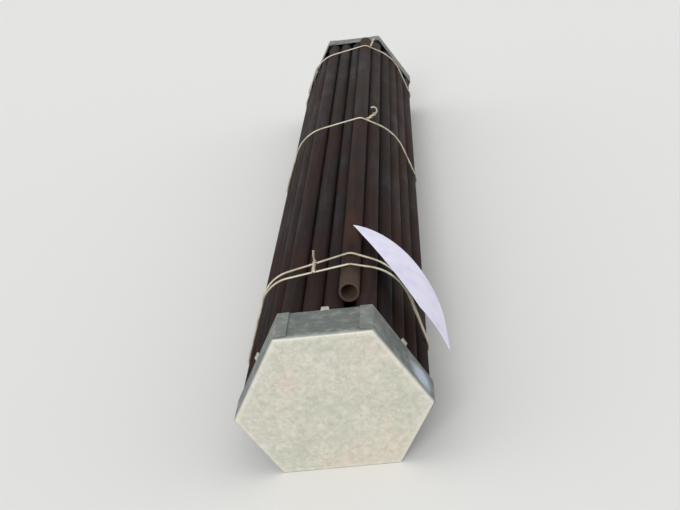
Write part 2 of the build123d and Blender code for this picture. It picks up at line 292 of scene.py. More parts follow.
def mill_scale(steel):
    """Hot-finished steel tube: brown-black mill scale, with rust in clouds and a faint draw grain.

    It gives the eye dark, half-dull rounds, no two quite the same brown, with tan rust in the bores."""
    material, tree, shader, place = new_material("hot_finished_steel")
    tone, rust, inside = [add(tree, "ShaderNodeAttribute", {"attribute_name": name}).outputs["Fac"]
                          for name in ("pipe_tone", "pipe_rust", "sawn_or_bore")]

    along = add(tree, "ShaderNodeMapping", inputs={"Vector": place, "Scale": (1, 0.05, 1)})
    streaks = add(tree, "ShaderNodeTexNoise", inputs={
        "Vector": along, "Scale": 1 / (13 * MM), "Detail": 5.0, "Roughness": 0.62})
    drawn_out = add(tree, "ShaderNodeMapping", inputs={"Vector": place, "Scale": (1, 0.3, 1)})
    clouds = add(tree, "ShaderNodeTexNoise", inputs={
        "Vector": drawn_out, "Scale": 1 / (90 * MM), "Detail": 5.0, "Roughness": 0.62})
    specks = add(tree, "ShaderNodeTexNoise", inputs={
        "Vector": place, "Scale": 1 / (3 * MM), "Detail": 3.0, "Roughness": 0.7})

    toned = tinted(tree, steel, tone, [
        (0.0, "#8C8D98"), (0.35, "#A89E9F"), (0.7, "#CDB7AC"), (1.0, "#F2D6C2")])
    streaked = tinted(tree, toned, streaks, [(0.28, "#8B898A"), (0.5, "#CAC6C5"), (0.72, "#FFFFFF")])
    patches = add(tree, "ShaderNodeMapRange", inputs={"Value": clouds, "From Min": 0.44, "From Max": 0.66})
    rust_amount = add(tree, "ShaderNodeMath", {"operation": "MULTIPLY"}, {0: patches, 1: rust})
    rusted = add(tree, "ShaderNodeMix", BLEND, {0: rust_amount, MIX_A: streaked, MIX_B: linear("#452E26")})
    speck_amount = add(tree, "ShaderNodeMapRange", inputs={
        "Value": specks, "From Min": 0.6, "From Max": 0.78, "To Max": 0.3})
    speckled = add(tree, "ShaderNodeMix", BLEND, {0: speck_amount, MIX_A: rusted, MIX_B: linear("#6F5F54")})
    tan = add(tree, "ShaderNodeValToRGB", {"stops": [(0.35, "#4C4138"), (0.65, "#6E604F")]},
              {"Fac": specks})
    coloured = add(tree, "ShaderNodeMix", BLEND, {0: inside, MIX_A: speckled, MIX_B: tan})
    # The rustiest pipe, the raised one, is tan for a hand's breadth at its front end
    behind = add(tree, "ShaderNodeSeparateXYZ", inputs={0: place}).outputs["Y"]
    near_end = add(tree, "ShaderNodeMapRange", {"interpolation_type": "SMOOTHSTEP"}, {
        "Value": behind, "From Min": TAN_END[0], "From Max": TAN_END[1], "To Min": 0.75, "To Max": 0.0})
    rustiest = add(tree, "ShaderNodeMapRange", inputs={"Value": rust, "From Min": 0.6, "From Max": 0.8})
    end_amount = add(tree, "ShaderNodeMath", {"operation": "MULTIPLY"}, {0: near_end, 1: rustiest})
    ended = add(tree, "ShaderNodeMix", BLEND, {0: end_amount, MIX_A: coloured, MIX_B: linear("#4F4238")})

    dullness = add(tree, "ShaderNodeMapRange", inputs={
        "Value": clouds, "From Min": 0.35, "From Max": 0.65, "To Min": 0.62, "To Max": 0.9})
    # The specks and the draw grain are finer on real pipe, and drawn coarse enough to show
    grain_place = add(tree, "ShaderNodeMapping", inputs={"Vector": place, "Scale": (1, 0.02, 1)})
    grain = add(tree, "ShaderNodeTexNoise", inputs={"Vector": grain_place, "Scale": 1 / (1.2 * MM)})
    pits = add(tree, "ShaderNodeBump", inputs={"Strength": 0.3, "Distance": 0.4 * MM, "Height": specks})
    lines = add(tree, "ShaderNodeBump", inputs={
        "Strength": 0.15, "Distance": 0.2 * MM, "Height": grain, "Normal": pits})
    connect(tree, shader, {
        "Base Color": ended, "Roughness": dullness, "Normal": lines, "Specular IOR Level": 0.12})
    return material


def galvanised(zinc):
    """Hot-dip galvanised sheet: pale zinc with a fine spangle, dulled to a greenish cream.

    It gives the eye a flat, pale, faintly mottled face, folds brightened by a painted highlight, and flanges
    made darker and cooler by painted shade, with a painted reflection on one."""
    material, tree, shader, place = new_material("galvanised_sheet_steel")
    flange, fold = [add(tree, "ShaderNodeAttribute", {"attribute_name": name}).outputs["Fac"]
                    for name in ("flange", "fold")]
    spangle = add(tree, "ShaderNodeTexVoronoi", inputs={"Vector": place, "Scale": 1 / (6 * MM)})
    cell = add(tree, "ShaderNodeSeparateColor", inputs={0: spangle.outputs["Color"]})
    mottle = add(tree, "ShaderNodeTexNoise", inputs={
        "Vector": place, "Scale": 1 / (15 * MM), "Detail": 3.0, "Roughness": 0.55})
    stains = add(tree, "ShaderNodeTexNoise", inputs={
        "Vector": place, "Scale": 1 / (120 * MM), "Detail": 4.0, "Roughness": 0.55})
    scuffs_and_shade = add(tree, "ShaderNodeTexNoise", inputs={
        "Vector": place, "Scale": 1 / (30 * MM), "Detail": 6.0, "Roughness": 0.6})

    spangled = tinted(tree, zinc, cell, [(0.0, "#EEEEEB"), (1.0, "#FFFFFF")])
    mottled = tinted(tree, spangled, mottle, [(0.3, "#F0EFEA"), (0.68, "#FFFFFF")])
    stained = tinted(tree, mottled, stains, [(0.34, "#F2F5ED"), (0.5, "#FAFAF4"), (0.66, "#FFF7EF")])
    # Painted shade darkens and cools the flanges, its depth varying with the scuffs
    with_painted_shade = tinted(tree, stained, scuffs_and_shade, [(0.34, "#727E83"), (0.52, "#858F94"), (0.7, "#B2B9BC")], flange)
    # A painted reflection lightens a bluish spot on the front cap's upper right flange, its edge straying
    # with the scuffs
    stray = 60 * MM
    from_painted_reflection = add(tree, "ShaderNodeVectorMath", {"operation": "DISTANCE"}, {0: place, 1: PAINTED_REFLECTION_CENTRE})
    ragged = add(tree, "ShaderNodeMath", {"operation": "MULTIPLY_ADD"}, {0: scuffs_and_shade, 1: stray, 2: from_painted_reflection})
    painted_reflection = add(tree, "ShaderNodeMapRange", {"interpolation_type": "SMOOTHSTEP"}, {
        "Value": ragged, "From Min": 44 * MM, "From Max": 78 * MM, "To Min": 1.0, "To Max": 0.0})
    painted_reflection_amount = add(tree, "ShaderNodeMath", {"operation": "MULTIPLY"}, {0: painted_reflection, 1: flange})
    with_painted_reflection = add(tree, "ShaderNodeMix", BLEND, {0: painted_reflection_amount, MIX_A: with_painted_shade, MIX_B: linear("#B4C0D2")})
    # A painted highlight brightens the folds a little
    rubbed = 0.35
    fold_highlight_amount = add(tree, "ShaderNodeMath", {"operation": "MULTIPLY"}, {0: fold, 1: rubbed})
    coloured = add(tree, "ShaderNodeMix", BLEND, {0: fold_highlight_amount, MIX_A: with_painted_reflection, MIX_B: linear("#E9E8DE")})

    dullness = add(tree, "ShaderNodeMapRange", inputs={"Value": cell, "To Min": 0.46, "To Max": 0.6})
    dents = add(tree, "ShaderNodeBump", inputs={"Strength": 0.3, "Distance": 0.8 * MM, "Height": mottle})
    relief = add(tree, "ShaderNodeBump", inputs={
        "Strength": 0.1, "Distance": 0.3 * MM, "Height": cell, "Normal": dents})
    connect(tree, shader, {
        "Base Color": coloured, "Roughness": dullness, "Normal": relief, "Metallic": 0.35})
    return material


def soft_wire(steel):
    """Annealed tie wire: pale straw-coloured steel, dull, with darker rubbed and rusty stretches."""
    material, tree, shader, place = new_material("annealed_steel_wire")
    patches = add(tree, "ShaderNodeTexNoise", inputs={
        "Vector": place, "Scale": 1 / (30 * MM), "Detail": 4.0, "Roughness": 0.6})
    fine = add(tree, "ShaderNodeTexNoise", inputs={"Vector": place, "Scale": 1 / (2 * MM)})
    straw = tinted(tree, steel, patches, [(0.3, "#BDB4A6"), (0.5, "#E9E4DA"), (0.7, "#FFFFFF")])
    rub_amount = add(tree, "ShaderNodeMapRange", inputs={
        "Value": fine, "From Min": 0.55, "From Max": 0.75, "To Max": 0.35})
    rubbed = add(tree, "ShaderNodeMix", BLEND, {0: rub_amount, MIX_A: straw, MIX_B: linear("#8D7B66")})
    dullness = add(tree, "ShaderNodeMapRange", inputs={
        "Value": patches, "From Min": 0.3, "From Max": 0.7, "To Min": 0.35, "To Max": 0.55})
    relief = add(tree, "ShaderNodeBump", inputs={"Strength": 0.2, "Distance": 0.2 * MM, "Height": fine})
    connect(tree, shader, {
        "Base Color": rubbed, "Roughness": dullness, "Normal": relief, "Metallic": 0.6})
    return material


def card(white):
    """Smooth white card with a cool cast, blank, with a faint fibre and handling marks."""
    material, tree, shader, place = new_material("smooth_white_card")
    # Real fibres are far finer, and these are drawn coarse enough to show
    fibre = add(tree, "ShaderNodeTexNoise", inputs={
        "Vector": place, "Scale": 1 / (1.5 * MM), "Detail": 4.0, "Roughness": 0.7})
    handling = add(tree, "ShaderNodeTexNoise", inputs={
        "Vector": place, "Scale": 1 / (60 * MM), "Detail": 4.0, "Roughness": 0.6})
    fibred = tinted(tree, white, fibre, [(0.3, "#F8F7FD"), (0.7, "#FFFFFF")])
    marked = tinted(tree, fibred, handling, [(0.42, "#FFFFFF"), (0.68, "#EEEDF8")])
    relief = add(tree, "ShaderNodeBump", inputs={"Strength": 0.08, "Distance": 0.1 * MM, "Height": fibre})
    connect(tree, shader, {"Base Color": marked, "Roughness": 0.5, "Normal": relief})
    return material


# Meshes

def in_scene(name, data):
    """A new object in the scene for a mesh, a lamp or a camera."""
    data.name = name
    thing = bpy.data.objects.new(name, data)
    bpy.context.scene.collection.objects.link(thing)
    return thing


def worked(name, mesh, modifiers):
    """A piece with its modifiers, each a kind and its settings, worked into its mesh.

    The settings of a Geometry Nodes modifier are its tree and the tree's inputs by name."""
    blank = in_scene(name + "_blank", mesh)
    for kind, settings in modifiers:
        modifier = blank.modifiers.new(kind, kind)
        if kind == "NODES":
            modifier.node_group = settings["tree"]
            for item in settings["tree"].interface.items_tree:
                if item.in_out == "INPUT" and item.name in settings:
                    modifier[item.identifier] = settings[item.name]
        else:
            for setting, value in settings.items():
                setattr(modifier, setting, value)
    bpy.context.view_layer.update()
    depsgraph = bpy.context.evaluated_depsgraph_get()
    result = bpy.data.meshes.new_from_object(blank.evaluated_get(depsgraph))
    bpy.data.objects.remove(blank)
    return in_scene(name, result)


def hand_over(piece, node):
    """Shades a piece smooth apart from its creases, and puts it in its CAD node's place."""
    piece.data.polygons.foreach_set("use_smooth", [True] * len(piece.data.polygons))
    piece.data.set_sharp_from_angle(angle=CREASE_ABOVE)
    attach(piece, "root")
    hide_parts(node)


def add_skin(mesh, rows, facing, marks=None):
    """Adds quads between rows of points, so that the last one faces a given way.

    marks gives each row its two vertex marks: how much of the flanges' painted shade it takes, and how much
    it is fold, which takes a painted highlight."""
    layers = [mesh.verts.layers.float[name] for name in mesh.verts.layers.float.keys()]
    grid = []
    for number, row in enumerate(rows):
        grid.append([mesh.verts.new(point) for point in row])
        for vert in grid[-1]:
            for layer, mark in zip(layers, marks[number] if marks else ()):
                vert[layer] = mark
    a, b, c = grid[-2][-2].co, grid[-2][-1].co, grid[-1][-1].co
    backwards = (b - a).cross(c - b).dot(facing) < 0
    for near, far in zip(grid, grid[1:]):
        for i in range(len(near) - 1):
            corners = [near[i], near[i + 1], far[i + 1], far[i]]
            mesh.faces.new(corners[::-1] if backwards else corners)


def swell(x, y, z, span):
    """Smooth hills and hollows from 0 to 1, about a span across."""
    return 0.5 + 0.5 * noise.noise(Vector((x, y, z)) / span)


def sheet_mesh(mesh, name):
    """Merges a skin's doubles and turns it into a mesh."""
    bmesh.ops.remove_doubles(mesh, verts=mesh.verts, dist=0.01 * MM)
    result = bpy.data.meshes.new(name)
    mesh.to_mesh(result)
    mesh.free()
    return result


# Pipes

def pipe_tree():
    """Turns each vertex into a pipe along Y: a closed wall section swept round the pipe's axis."""
    tree, given = new_tree("Nested pipes", [
        ("Outer diameter", "Float"), ("Wall", "Float"), ("Length", "Float"), ("Edge break", "Float"),
        ("Sides", "Int"), ("Rust", "Float"), ("Seed", "Int"), ("Finish", "Material")])

    both_radii = add(tree, "ShaderNodeMath", {"operation": "SUBTRACT"},
                     {0: given["Outer diameter"], 1: given["Wall"]})
    middle = add(tree, "ShaderNodeMath", {"operation": "MULTIPLY"}, {0: both_radii, 1: 0.5})
    ring = add(tree, "GeometryNodeCurvePrimitiveCircle", {"mode": "RADIUS"},
               {"Radius": middle, "Resolution": given["Sides"]})
    wall = add(tree, "GeometryNodeCurvePrimitiveQuadrilateral", {"mode": "RECTANGLE"},
               {"Width": given["Wall"], "Height": given["Length"]})
    section = add(tree, "GeometryNodeFilletCurve", {"mode": "POLY"},
                  {"Curve": wall, "Radius": given["Edge break"], "Count": 2})
    # The ring lies in XY, so its sweep stands along Z until it is turned onto Y
    tube = add(tree, "GeometryNodeCurveToMesh", inputs={"Curve": ring, "Profile Curve": section})

    # Faces nearer the axis than the middle of the wall are the bore, and the outermost ones are sawn
    spot = add(tree, "GeometryNodeInputPosition")
    flat = add(tree, "ShaderNodeVectorMath", {"operation": "MULTIPLY"}, {0: spot, 1: (1, 1, 0)})
    reach = add(tree, "ShaderNodeVectorMath", {"operation": "LENGTH"}, {0: flat})
    bore = add(tree, "ShaderNodeMath", {"operation": "LESS_THAN"}, {0: reach, 1: middle})
    height = add(tree, "ShaderNodeSeparateXYZ", inputs={0: spot}).outputs["Z"]
    off_centre = add(tree, "ShaderNodeMath", {"operation": "ABSOLUTE"}, {0: height})
    half = add(tree, "ShaderNodeMath", {"operation": "MULTIPLY"}, {0: given["Length"], 1: 0.5})
    short = add(tree, "ShaderNodeMath", {"operation": "SUBTRACT"}, {0: half, 1: given["Edge break"]})
    sawn = add(tree, "ShaderNodeMath", {"operation": "GREATER_THAN"}, {0: off_centre, 1: short})
    either = add(tree, "ShaderNodeMath", {"operation": "MAXIMUM"}, {0: bore, 1: sawn})
    marked = add(tree, "GeometryNodeStoreNamedAttribute", {"data_type": "FLOAT", "domain": "FACE"},
                 {"Geometry": tube, "Name": "sawn_or_bore", "Value": either})

    ahead = add(tree, "ShaderNodeCombineXYZ", inputs={"Y": half})
    laid = add(tree, "GeometryNodeTransform", inputs={
        "Geometry": marked, "Translation": ahead, "Rotation": (math.pi / 2, 0, 0)})
    points = add(tree, "GeometryNodeMeshToPoints", inputs={"Mesh": given["Geometry"]})
    roll = add(tree, "FunctionNodeRandomValue", FLOAT, {RANDOM_MAX: math.tau, "Seed": given["Seed"]})
    turned = add(tree, "ShaderNodeCombineXYZ", inputs={"Y": roll})
    copies = add(tree, "GeometryNodeInstanceOnPoints",
                 inputs={"Points": points, "Instance": laid, "Rotation": turned})
    next_seed = add(tree, "ShaderNodeMath", {"operation": "ADD"}, {0: given["Seed"], 1: 1.0})
    tone = add(tree, "FunctionNodeRandomValue", FLOAT, {"Seed": next_seed})
    on_instances = {"data_type": "FLOAT", "domain": "INSTANCE"}
    toned = add(tree, "GeometryNodeStoreNamedAttribute", on_instances,
                {"Geometry": copies, "Name": "pipe_tone", "Value": tone})
    rusty = add(tree, "GeometryNodeStoreNamedAttribute", on_instances,
                {"Geometry": toned, "Name": "pipe_rust", "Value": given["Rust"]})
    return end_tree(tree, given, rusty)


class BUNDLE_OT_pipes(bpy.types.Operator):
    """Make the pipes of every row, each with its own tone"""
    bl_idname = "bundle.pipes"
    bl_label = "Pipes"

    def execute(self, context):
        settings = context.scene.bundle_pipes
        tree = pipe_tree()
        finish = mill_scale(settings.steel)
        for number, (node, boxes) in enumerate(PIPES.items()):
            starts = bpy.data.meshes.new(node)
            starts.from_pydata([(pipe_centre(box).x, box[0].y, pipe_centre(box).y) for box in boxes], [], [])
            low, high = boxes[0]
            piece = worked(node + "_steel", starts, [("NODES", {
                "tree": tree, "Outer diameter": PIPE_OD, "Wall": settings.wall, "Length": high.y - low.y,
                "Edge break": settings.edge_break, "Sides": settings.sides,
                "Rust": RAISED_RUST if node == "pipe_raised" else ROW_RUST,
                "Seed": settings.seed + number, "Finish": finish})])
            hand_over(piece, node)
        return {"FINISHED"}


# End caps

def hexagon(sheet, grow):
    """Corners of the caps' inside grown outwards, clockwise from the top left one, as 2-D vectors."""
    top, bottom = TOP + CAP_FIT + grow, sheet - grow
    half = pipe_centre(WIDEST_ROW[-1]).x + (PIPE_OD / 2 + CAP_FIT + grow) * 2 / math.sqrt(3)
    half_top = half - (top - CENTRE.y) / math.sqrt(3)
    half_bottom = half - (CENTRE.y - bottom) / math.sqrt(3)
    return [Vector(corner) for corner in (
        (-half_top, top), (half_top, top), (half, CENTRE.y),
        (half_bottom, bottom), (-half_bottom, bottom), (-half, CENTRE.y))]


def outward(a, b):
    """The way out of the hexagon, square to the side between two of its corners."""
    way = Vector((a.y - b.y, b.x - a.x)).normalized()
    return way if way.dot((a + b) / 2 - CENTRE) > 0 else -way


def lean_shift(face, height, sheet):
    """Where a cap's leaning face crosses a height."""
    middle = (TOP + CAP_FIT + sheet) / 2
    return face - (height - middle) * math.tan(CAP_LEAN)


def rounded_path(points, radius, steps=4):
    """A 2-D path with its inner corners rounded."""
    path = [points[0]]
    for before, corner, after in zip(points, points[1:], points[2:]):
        back, on = (before - corner).normalized(), (after - corner).normalized()
        half_angle = back.angle(on) / 2
        centre = corner + (back + on).normalized() * radius / math.sin(half_angle)
        start = corner + back * radius / math.tan(half_angle) - centre
        end = corner + on * radius / math.tan(half_angle) - centre
        path += [centre + start.lerp(end, i / steps).normalized() * radius for i in range(steps + 1)]
    return path + [points[-1]]


def cap_loop(corners, radius, side_steps=18, bend_steps=4):
    """Places round the hexagon with its corners rounded, each with its way out. Closed."""
    count = len(corners)
    arcs = []
    for i, corner in enumerate(corners):
        first = outward(corners[i - 1], corner)
        last = outward(corner, corners[(i + 1) % count])
        centre = corner - (first + last) * radius / (1 + first.dot(last))
        ways = [first.lerp(last, step / bend_steps).normalized() for step in range(bend_steps + 1)]
        arcs.append([(centre + way * radius, way) for way in ways])
    loop = []
    for i, arc in enumerate(arcs):
        (start, way), (end, _) = arc[-1], arcs[(i + 1) % count][0]
        loop += arc + [(start.lerp(end, step / side_steps), way) for step in range(1, side_steps)]
    return loop + loop[:1]


def add_tray(mesh, face, inward, settings):
    """The skin of a cap: its leaning face, the fold all round it and its flanges."""
    ahead = Vector((0, -math.cos(CAP_LEAN), -math.sin(CAP_LEAN))) * inward
    rim = face + inward * CAP_DEPTH
    face_steps, fold_steps, flange_steps = 16, 5, 10
    # The rim's place sets each cap's own hills and hollows, about this far across
    face_span, flange_span = 85 * MM, 60 * MM
    # Rounded more than the fold, the corners keep some roundness inside it
    corner_radius = settings.fold * 1.6
    loop = cap_loop(hexagon(settings.sheet, settings.sheet), corner_radius)
    folded = []
    for step in range(fold_steps + 1):
        row = []
        for point, way in loop:
            out = way.to_3d().xzy
            sharp = Vector((point.x, lean_shift(face, point.y, settings.sheet), point.y))
            centre = sharp - (ahead + out) * settings.fold / (1 + ahead.dot(out))
            row.append(centre + ahead.slerp(out, step / fold_steps) * settings.fold)
        folded.append(row)
    middle = sum(folded[0], Vector()) / len(folded[0])
    faces = []
    for step in range(face_steps):
        # The rings of the face close up towards the fold
        part = (step / face_steps) ** 0.8
        row = []
        for edge in folded[0]:
            spot = middle.lerp(edge, part)
            bulge = swell(spot.x, rim * 3, spot.z, face_span)
            row.append(spot + ahead * settings.uneven * bulge * (1 - part ** 2))
        faces.append(row)
    flanges = []
    for step in range(1, flange_steps + 1):
        part = step / flange_steps
        row = []
        for start, (point, way) in zip(folded[-1], loop):
            hollow = swell(start.x, rim * 7, start.z, flange_span)
            sunk = way.to_3d().xzy * settings.uneven * 0.5 * hollow * part
            row.append(Vector((start.x, start.y + (rim - start.y) * part, start.z)) - sunk)
        flanges.append(row)
    # The face takes no painted shade, the fold blends into the flanges' painted shade and takes the painted
    # highlight, and the flanges take all the shade
    marks = [(0, 0)] * len(faces) + [(step / fold_steps, 1) for step in range(len(folded))]
    last_way = loop[-1][1].to_3d().xzy
    add_skin(mesh, faces + folded + flanges, last_way, marks + [(1, 0)] * len(flanges))


def add_lap(mesh, corner, along, outside, face, inward, settings):
    """A lap: the end of one flange, bent round a corner to lie outside or inside the next flange."""
    sheet = settings.sheet
    side = 1 if outside else -1
    near = hexagon(sheet, sheet if outside else 0)
    root, behind = near[corner], near[(2 * corner - along) % len(near)]
    on, run = (root - behind).normalized(), (near[along] - root).normalized()
    out = outward(root, near[along])
    # The lap starts sunk in its own flange, and narrows and springs off the next one towards its tip
    tail, sink, taper, spring, steps = 9 * MM, 0.4 * MM, 4 * MM, 0.4 * MM, 6
    radius = settings.fold if outside else settings.fold - 2 * MM
    bend = root + on * side * sheet / on.dot(out)
    start = root - on * tail - outward(behind, root) * side * sink
    tip = root + run * settings.lap + out * side * sheet
    first = lean_shift(face, root.y, sheet) + inward * LAP_SETBACK
    last = face + inward * (CAP_DEPTH - LAP_SHORTFALL)
    rows = []
    for point in rounded_path([start, bend, tip], radius):
        reach = max(0.0, (point - bend).dot(run)) / settings.lap
        point = point + out * side * spring * reach ** 2
        begin = first + inward * taper * reach
        rows.append([(point.x, begin + (last - begin) * step / steps, point.y) for step in range(steps + 1)])
    add_skin(mesh, rows, out.to_3d().xzy * side, [(LAP_PAINTED_SHADE, 0)] * len(rows))


def add_lip(mesh, side, face, inward, settings):
    """A lip bent out at the rim, in the middle of one flange."""
    corners = hexagon(settings.sheet, settings.sheet)
    a, b = corners[side], corners[(side + 1) % len(corners)]
    run, out = (b - a).normalized(), outward(a, b)
    rim = face + inward * CAP_DEPTH
    sheet, flare = settings.sheet, LIP_FLARE
    tip = Vector((settings.lip * math.cos(flare) - sheet * math.sin(flare),
                  settings.lip * math.sin(flare) + sheet * math.cos(flare) - sheet))
    # The lip starts sunk in the flange, behind the rim, and narrows towards its tip
    root, bend_radius = Vector((-5 * MM, -0.15 * MM)), 4 * MM
    half_width, narrowing, half_steps = 10 * MM, 0.22, 3
    path = rounded_path([root, Vector((0, 0)), tip], bend_radius)
    rows = []
    for number, (beyond, above) in enumerate(path):
        half = half_width * (1 - narrowing * (number / (len(path) - 1)) ** 3)
        row = []
        for step in range(-half_steps, half_steps + 1):
            spot = (a + b) / 2 + run * half * step / half_steps + out * above
            row.append((spot.x, rim + inward * beyond, spot.y))
        rows.append(row)
    add_skin(mesh, rows, out.to_3d().xzy, [(LIP_PAINTED_SHADE, 0)] * len(rows))


class BUNDLE_OT_end_caps(bpy.types.Operator):
    """Make the two end caps, folded from galvanised sheet"""
    bl_idname = "bundle.end_caps"
    bl_label = "End caps"

    def execute(self, context):
        settings = context.scene.bundle_end_caps
        finish = galvanised(settings.zinc)
        for node, (face, inward) in CAP_FACES.items():
            mesh = bmesh.new()
            # Marks for the flanges' painted shade and the folds' painted highlight
            for mark in ("flange", "fold"):
                mesh.verts.layers.float.new(mark)
            add_tray(mesh, face, inward, settings)
            for corner, along, outside in LAPS:
                add_lap(mesh, corner, along, outside, face, inward, settings)
            for side in LIPPED_SIDES:
                add_lip(mesh, side, face, inward, settings)
            piece = worked(node + "_sheet", sheet_mesh(mesh, node), [
                ("SOLIDIFY", {"thickness": settings.sheet, "offset": -1, "use_even_offset": True}),
                ("BEVEL", {"width": 0.3 * MM, "segments": 2, "limit_method": "ANGLE",
                           "angle_limit": BEVEL_ABOVE})])
            piece.data.materials.append(finish)
            hand_over(piece, node)
        return {"FINISHED"}


# Wire ties

def wire_tree():
    """Turns the straight courses of a wire into round wire, bent at its corners and wavering a little."""
    bend_steps, spacing, waver_span, sides = 12, 2.5 * MM, 55 * MM, 12
    tree, given = new_tree("Tie wire", [
        ("Wire", "Float"), ("Waver", "Float"), ("Seed", "Int"), ("Finish", "Material")])
    course = add(tree, "GeometryNodeMeshToCurve", inputs={"Mesh": given["Geometry"]})
    bend = add(tree, "GeometryNodeInputNamedAttribute", FLOAT, {"Name": "bend"})
    bent = add(tree, "GeometryNodeFilletCurve", {"mode": "POLY"},
               {"Curve": course, "Radius": bend, "Count": bend_steps})
    fine = add(tree, "GeometryNodeResampleCurve", {"mode": "LENGTH"}, {"Curve": bent, "Length": spacing})
    stray = add(tree, "ShaderNodeTexNoise", {"noise_dimensions": "4D"},
                {"W": given["Seed"], "Scale": 1 / waver_span, "Detail": 1.0})
    about_zero = add(tree, "ShaderNodeVectorMath", {"operation": "SUBTRACT"},
                     {0: stray.outputs["Color"], 1: (0.5, 0.5, 0.5)})
    free = add(tree, "GeometryNodeInputNamedAttribute", FLOAT, {"Name": "free"})
    amount = add(tree, "ShaderNodeMath", {"operation": "MULTIPLY"}, {0: given["Waver"], 1: free})
    offset = add(tree, "ShaderNodeVectorMath", {"operation": "SCALE"}, {0: about_zero, "Scale": amount})
    wavering = add(tree, "GeometryNodeSetPosition", inputs={"Geometry": fine, "Offset": offset})
    radius = add(tree, "ShaderNodeMath", {"operation": "MULTIPLY"}, {0: given["Wire"], 1: 0.5})
    section = add(tree, "GeometryNodeCurvePrimitiveCircle", {"mode": "RADIUS"},
                  {"Radius": radius, "Resolution": sides})
    wire = add(tree, "GeometryNodeCurveToMesh",
               inputs={"Curve": wavering, "Profile Curve": section, "Fill Caps": True})
    return end_tree(tree, given, wire)


def tie_turn(runs, y, slant=0.0, lift=0.0):
    """Corners of one turn of wire, as (place, bend radius, freedom). slant and lift act near its top."""
    bottom, top = CENTRE.y, max(z for x, z, bend, free in runs) * MM
    turn = []
    for x, z, bend, free in runs:
        near_top = max(0.0, (z * MM - bottom) / (top - bottom)) ** SLANT_FADE
        place = Vector((x * MM, y + slant * near_top, z * MM + lift * near_top))
        turn.append((place, bend * MM, free))
    return turn


def top_at(turn, x):
    """Where a turn's upper side passes an X."""
    passed = []
    for (a, _, _), (b, _, _) in zip(turn, turn[1:] + turn[:1]):
        if min(a.x, b.x) <= x <= max(a.x, b.x):
            passed.append(a + (b - a) * ((x - a.x) / (b.x - a.x)))
    return max(passed, key=lambda place: place.z)


def plain_course(places):
    """A course without bends, for twisted or standing wire."""
    return [(place, 0.0, 0.0) for place in places]


def twisted(start, end, settings):
    """Two strands twisted together from one point to another, their tips a little apart."""
    axis = end - start
    across = axis.orthogonal().normalized()
    square = axis.normalized().cross(across)
    # Pressed together, the strands stand a little less than half the wire off the axis
    offset, splay, spacing = settings.wire * 0.425, 0.35, 1.5 * MM
    count = math.ceil(axis.length / spacing)
    strands = []
    for phase in (0, math.pi):
        places = []
        for i in range(count + 1):
            angle = phase + math.tau * axis.length * i / count / settings.lay
            spread = offset * (1 + splay * (i / count) ** 6)
            places.append(start + axis * i / count
                          + (across * math.cos(angle) + square * math.sin(angle)) * spread)
        strands.append((plain_course(places), False))
    return strands


def tilted(degrees):
    """A direction across the bundle, tilted up from +X."""
    return Vector((math.cos(math.radians(degrees)), 0, math.sin(math.radians(degrees))))


def front_courses(settings):
    """The front tie: two turns, spread apart over the raised pipe and twisted together, and a spike."""
    y = TIE_Y["tie_front"]
    near = tie_turn(FRONT_RUNS, y)
    far = tie_turn(FRONT_RUNS, y + TURN_SPACING, TOP_SLANT, TOP_LIFT)
    near_knot, far_knot = top_at(near, FRONT_KNOT_X), top_at(far, FRONT_KNOT_X)
    lift = Vector((0, 0, settings.wire / 2))
    overhang = (far_knot - near_knot).normalized() * TWIST_OVERHANG
    foot = far_knot + overhang / 2 + lift
    bow, tip = Vector((-0.6, 0.3, 14)) * MM, Vector((0.4, 0, 28)) * MM
    spike = plain_course([foot, foot + bow, foot + tip])
    twist = twisted(near_knot - overhang + lift, far_knot + overhang + lift, settings)
    return [(near, True), (far, True), (spike, False)] + twist


def side_courses(node, tilt, curled, settings):
    """A tie of one turn, its ends twisted together beside the raised pipe, and curled over or not."""
    curl_steps = 12
    turn = tie_turn(PLAIN_RUNS, TIE_Y[node])
    foot = top_at(turn, SIDE_KNOT_X) + tilted(tilt) * settings.wire / 2
    direction, away = tilted(tilt), tilted(tilt + 90)
    tip = foot + direction * TWIST_LENGTH
    courses = [(turn, True)] + twisted(foot, tip, settings)
    if curled:
        middle = tip + away * CURL_RADIUS
        angles = [math.pi * i / curl_steps for i in range(curl_steps + 1)]
        places = [middle + (direction * math.sin(angle) - away * math.cos(angle)) * CURL_RADIUS
                  for angle in angles]
        courses.append((plain_course(places), False))
    return courses


class BUNDLE_OT_ties(bpy.types.Operator):
    """Make the three wire ties and their twisted ends"""
    bl_idname = "bundle.ties"
    bl_label = "Wire ties"

    def execute(self, context):
        settings = context.scene.bundle_ties
        tree = wire_tree()
        finish = soft_wire(settings.steel)
        ties = {"tie_front": front_courses(settings)}
        for node, (tilt, curled) in SIDE_TWISTS.items():
            ties[node] = side_courses(node, tilt, curled, settings)
        for number, (node, courses) in enumerate(ties.items()):
            corners, edges = [], []
            for course, closed in courses:
                start = len(corners)
                corners += course
                edges += [(i, i + 1) for i in range(start, len(corners) - 1)]
                if closed:
                    edges.append((len(corners) - 1, start))
            places, bends, freedoms = zip(*corners)
            mesh = bpy.data.meshes.new(node)
            mesh.from_pydata(places, edges, [])
            for name, values in (("bend", bends), ("free", freedoms)):
                mesh.attributes.new(name, "FLOAT", "POINT").data.foreach_set("value", values)
            piece = worked(node + "_wire", mesh, [("NODES", {
                "tree": tree, "Wire": settings.wire, "Waver": settings.waver,
                "Seed": settings.seed + number, "Finish": finish})])
            hand_over(piece, node)
        return {"FINISHED"}


# Card tag

